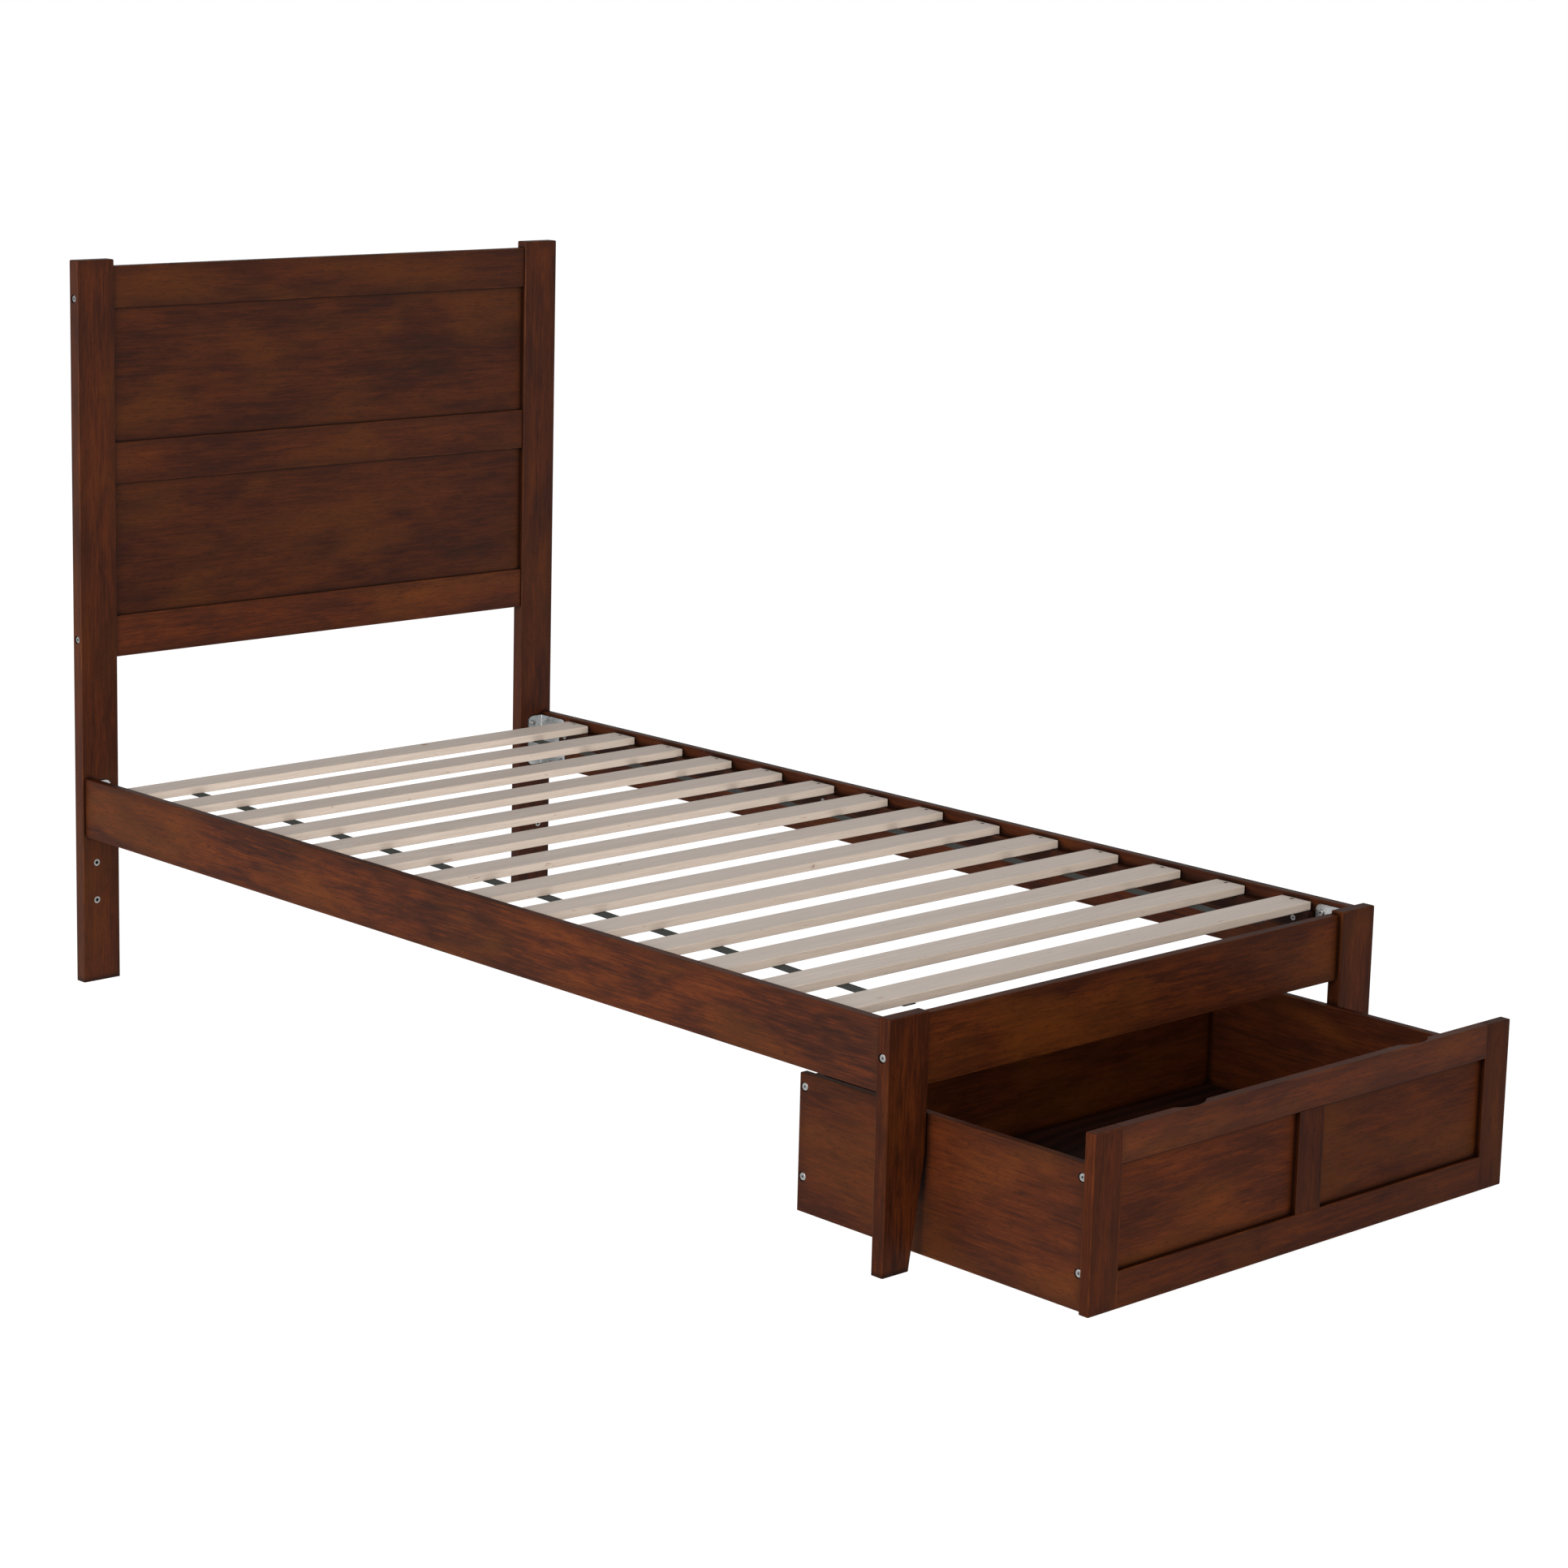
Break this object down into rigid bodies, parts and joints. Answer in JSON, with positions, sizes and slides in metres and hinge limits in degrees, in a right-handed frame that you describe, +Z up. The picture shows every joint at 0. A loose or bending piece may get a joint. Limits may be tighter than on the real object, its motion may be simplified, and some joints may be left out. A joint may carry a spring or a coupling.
{
  "type": "platform bed with a roll-out storage drawer",
  "caption": "Low slatted platform bed with a two-panel headboard, tapered foot legs and a framed storage drawer that rolls out from under the foot.",
  "frame": {"origin": "on the floor, at the middle of the whole object's box with the drawer standing open at rest", "axes": "+Z up, +Y from the foot towards the headboard, +X to the right seen from the foot"},
  "size_m": [1.06, 2.3166, 1.2615],
  "materials": {
    "dark_wood": "walnut stain under satin clear coat",
    "pale_wood": "planed, unstained",
    "plywood": "stained plywood",
    "zinc_steel": "zinc plated",
    "black_steel": "black oxide",
    "webbing": "woven polyester webbing",
    "wheel_plastic": "moulded"
  },
  "bodies": {
    "bed_frame": {"head_post_left": "dark_wood", "head_post_right": "dark_wood", "foot_leg_left": "dark_wood", "foot_leg_right": "dark_wood", "side_rail_left": "dark_wood", "side_rail_right": "dark_wood", "foot_rail": "dark_wood", "headboard_bottom_rail": "dark_wood", "headboard_middle_rail": "dark_wood", "headboard_top_rail": "dark_wood", "headboard_lower_panel": "dark_wood", "headboard_upper_panel": "dark_wood", "slat_cleat_left": "dark_wood", "slat_cleat_right": "dark_wood", "slat_01": "pale_wood", "slat_02": "pale_wood", "slat_03": "pale_wood", "slat_04": "pale_wood", "slat_05": "pale_wood", "slat_06": "pale_wood", "slat_07": "pale_wood", "slat_08": "pale_wood", "slat_09": "pale_wood", "slat_10": "pale_wood", "slat_11": "pale_wood", "slat_12": "pale_wood", "slat_13": "pale_wood", "slat_14": "pale_wood", "strap_left": "webbing", "strap_right": "webbing", "strap_staples": "zinc_steel", "corner_brackets": "zinc_steel", "frame_bolts": "zinc_steel", "frame_barrel_nuts": "zinc_steel", "bracket_bolts": "zinc_steel", "threaded_inserts": "zinc_steel", "cleat_screws": "zinc_steel", "slat_screws": "black_steel"},
    "drawer": {"drawer_side_left": "dark_wood", "drawer_side_right": "dark_wood", "drawer_inner_front": "dark_wood", "drawer_back": "dark_wood", "drawer_bottom": "plywood", "drawer_bolts": "zinc_steel", "drawer_barrel_nuts": "zinc_steel", "drawer_face_stile_left": "dark_wood", "drawer_face_stile_right": "dark_wood", "drawer_face_mullion": "dark_wood", "drawer_face_top_rail": "dark_wood", "drawer_face_bottom_rail": "dark_wood", "drawer_face_panel_left": "dark_wood", "drawer_face_panel_right": "dark_wood", "drawer_face_screws": "zinc_steel", "caster_housings": "zinc_steel", "caster_axles": "zinc_steel", "caster_screws": "zinc_steel"},
    "wheel_front_left": {"wheel_front_left": "wheel_plastic"},
    "wheel_front_right": {"wheel_front_right": "wheel_plastic"},
    "wheel_back_left": {"wheel_back_left": "wheel_plastic"},
    "wheel_back_right": {"wheel_back_right": "wheel_plastic"}
  },
  "joints": [
    {"name": "drawer_slide", "type": "slide", "parent": "bed_frame", "child": "drawer", "axis": [0, -1, 0], "range_m": [-0.295, 0.25]},
    {"name": "wheel_front_left_spin", "type": "hinge", "parent": "drawer", "child": "wheel_front_left", "pos_m": [-0.4145, -1.06525, 0.015], "axis": [1, 0, 0], "continuous": true},
    {"name": "wheel_front_right_spin", "type": "hinge", "parent": "drawer", "child": "wheel_front_right", "pos_m": [0.4145, -1.06525, 0.015], "axis": [1, 0, 0], "continuous": true},
    {"name": "wheel_back_left_spin", "type": "hinge", "parent": "drawer", "child": "wheel_back_left", "pos_m": [-0.4145, -0.66525, 0.015], "axis": [1, 0, 0], "continuous": true},
    {"name": "wheel_back_right_spin", "type": "hinge", "parent": "drawer", "child": "wheel_back_right", "pos_m": [0.4145, -0.66525, 0.015], "axis": [1, 0, 0], "continuous": true}
  ],
  "couplings": [
    {"joint": "wheel_front_left_spin", "follows": "drawer_slide", "rad_per_m": 66.667},
    {"joint": "wheel_front_right_spin", "follows": "drawer_slide", "rad_per_m": 66.667},
    {"joint": "wheel_back_left_spin", "follows": "drawer_slide", "rad_per_m": 66.667},
    {"joint": "wheel_back_right_spin", "follows": "drawer_slide", "rad_per_m": 66.667}
  ]
}
